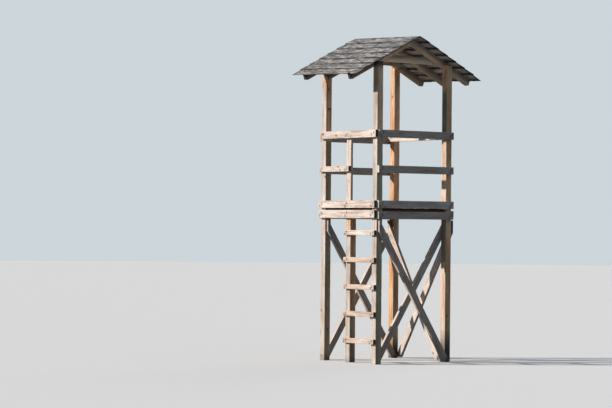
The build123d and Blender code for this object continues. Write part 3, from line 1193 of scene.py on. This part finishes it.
def make_piece(name, parts, material, node=None):
    """One object from parts of (points, faces, attributes)."""
    verts, faces = [], []
    for points, part_faces, _ in parts:
        faces += [[i + len(verts) for i in face] for face in part_faces]
        verts += points.tolist()
    mesh = bpy.data.meshes.new(name)
    mesh.from_pydata(verts, [], faces)
    for key in parts[0][2]:
        values = np.vstack([carried[key] for _, _, carried in parts])
        layer = mesh.attributes.new(key, "FLOAT_VECTOR", "POINT")
        layer.data.foreach_set("vector", values.astype(np.float32).ravel())
    mesh.polygons.foreach_set("use_smooth", [True] * len(mesh.polygons))
    mesh.update()
    mesh.set_sharp_from_angle(angle=SHARP_ANGLE)
    mesh.materials.append(material)
    piece = put(name, mesh)
    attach(piece, "root")
    if node:
        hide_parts(node)


for order, node in enumerate(nodes):
    rng = np.random.default_rng(SEED * SEEDS_APART + order)
    look, material, slot = by_kind(node, KINDS, OTHER_KIND)
    group = timbers[node]
    if look is ROOF:
        group = sorted(group, key=lambda board: -board.base[2])
    parts = []
    for course, solid in enumerate(group):
        spots = [(point, way) for point, way, board in nails[node] if board is solid]
        spots += knot_places(node, solid)
        shape = roof_shape(rng, solid, solid is group[-1]) if look is ROOF else None
        points, faces, outs, ends = loft(rng, solid, look, spots, shape)
        if look is ROOF:
            tone = roof_weathering(rng, solid, points, outs, ends, course, len(group))
        else:
            tone = weathering(rng, node, solid, points, outs, ends, spots)
        parts.append((points, faces, {"grain": grain_of(rng, solid, points, look), "tone": tone}))
    make_piece(node + "_timber", parts, material, node)


# Nail heads: shares of the radius and heights of their rings, and their crown
NAIL_PROFILE = ((1.0, -0.0030), (1.0, 0.0004), (0.86, 0.0011), (0.5, 0.0016))
NAIL_CROWN = 0.0018
NAIL_SIDES = 9
NAIL_RADII = (0.0044, 0.0054)
NAIL_LEAN = 0.06
ASLANT = (0.3, 0.5, 0.8)
ROOF_NAIL_DOWN = (0.2, 0.3)
ROOF_NAIL_UP = 0.0018


def unit(vector):
    return vector / np.linalg.norm(vector)


def nail_head(rng, point, way):
    """A domed head let a little into the timber, and its faces."""
    side = unit(np.cross(unit(way), ASLANT))
    lean = unit(unit(way) + side * rng.uniform(-NAIL_LEAN, NAIL_LEAN))
    side = unit(np.cross(lean, side))
    other = np.cross(lean, side)
    size = rng.uniform(*NAIL_RADII)
    turn = np.arange(NAIL_SIDES) * 2 * math.pi / NAIL_SIDES + rng.uniform(0, 1)
    ring = np.outer(np.cos(turn), side) + np.outer(np.sin(turn), other)
    verts = [point + ring * share * size + lean * height for share, height in NAIL_PROFILE]
    verts.append((point + lean * NAIL_CROWN)[None])
    faces = []
    last = (len(NAIL_PROFILE) - 1) * NAIL_SIDES
    pairs = [(k, (k + 1) % NAIL_SIDES) for k in range(NAIL_SIDES)]
    for low in range(0, last, NAIL_SIDES):
        high = low + NAIL_SIDES
        faces += [[low + k, low + n, high + n, high + k] for k, n in pairs]
    faces += [[last + k, last + n, last + NAIL_SIDES] for k, n in pairs]
    return np.vstack(verts), faces, {}


heads = []
for node in nodes:
    for point, way, board in nails[node]:
        if "roof_boards" in node:
            way = board.u if board.u[2] > 0 else -board.u
            downhill = -board.v if board.v[2] > 0 else board.v
            down = nail_rng.uniform(*ROOF_NAIL_DOWN) * board.half_v
            point = point + downhill * down + way * ROOF_NAIL_UP
        heads.append(nail_head(nail_rng, point, way))
make_piece("nail_heads", heads, nail_look)


# Backdrop, floor, lamps and camera

world = bpy.data.worlds.new("studio")
scene.world = world
world.use_nodes = True
sky = Graph(world.node_tree)
way = sky.add("TexCoord", out="Generated")
channels = []
for slant, light in zip(SKY_SLANTS, SKY_LIGHT):
    lit = sky.math("ADD", sky.vector("DOT_PRODUCT", way, slant, out="Value"), 1.0)
    lit = sky.math("MAXIMUM", lit, SKY_LEAST)
    channels.append(sky.math("MULTIPLY", lit, light * SKY_STRENGTH))
background = world.node_tree.nodes["Background"].inputs["Color"]
sky.feed(background, sky.by_ray(BACKDROP_COLOUR, sky.add("CombineXYZ", channels)))

turns = np.linspace(0, 2 * math.pi, FLOOR_SIDES, endpoint=False)
rim = [(FLOOR_RADIUS * math.cos(t), FLOOR_RADIUS * math.sin(t), 0.0) for t in turns]
floor_mesh = bpy.data.meshes.new("floor")
floor_mesh.from_pydata(rim, [], [list(range(FLOOR_SIDES))])
floor = put("floor", floor_mesh)
paint = Surface("pale_floor")
floor_mesh.materials.append(paint.finish({
    "Base Color": paint.by_ray(FLOOR_COLOUR, FLOOR_BOUNCE),
    "Roughness": FLOOR_ROUGHNESS,
    "Specular IOR Level": FLOOR_SPECULAR,
}))


def sun_light(name, travel, strength, angle, colour):
    """A far lamp whose light travels in one direction."""
    data = bpy.data.lights.new(name, "SUN")
    data.energy = strength
    data.angle = angle
    data.color = colour
    lamp = put(name, data)
    lamp.rotation_mode = "QUATERNION"
    lamp.rotation_quaternion = travel.to_track_quat("-Z", "Y")


sun_light("key", SUN_TRAVEL, SUN_STRENGTH, SUN_ANGLE, SUN_COLOUR)
sun_light("back", BACK_TRAVEL, BACK_STRENGTH, BACK_ANGLE, BACK_COLOUR)

right = Vector((math.cos(AZIMUTH), math.sin(AZIMUTH), 0.0))
level = math.cos(PITCH)
ahead = Vector((-math.sin(AZIMUTH) * level, math.cos(AZIMUTH) * level, math.sin(PITCH)))
upward = right.cross(ahead)
camera_x = right * math.cos(ROLL) + upward * math.sin(ROLL)
camera_y = upward * math.cos(ROLL) - right * math.sin(ROLL)
camera_data = bpy.data.cameras.new("camera")
camera_data.sensor_width = SENSOR_WIDTH
camera_data.lens = FOCAL_PIXELS / IMAGE_WIDTH * SENSOR_WIDTH
camera_data.clip_end = CLIP_END
camera = put("camera", camera_data)
pose = Matrix((camera_x, camera_y, -ahead)).transposed().to_4x4()
pose.translation = CAMERA_PLACE
camera.matrix_world = pose
scene.camera = camera
scene.view_settings.view_transform = "Standard"
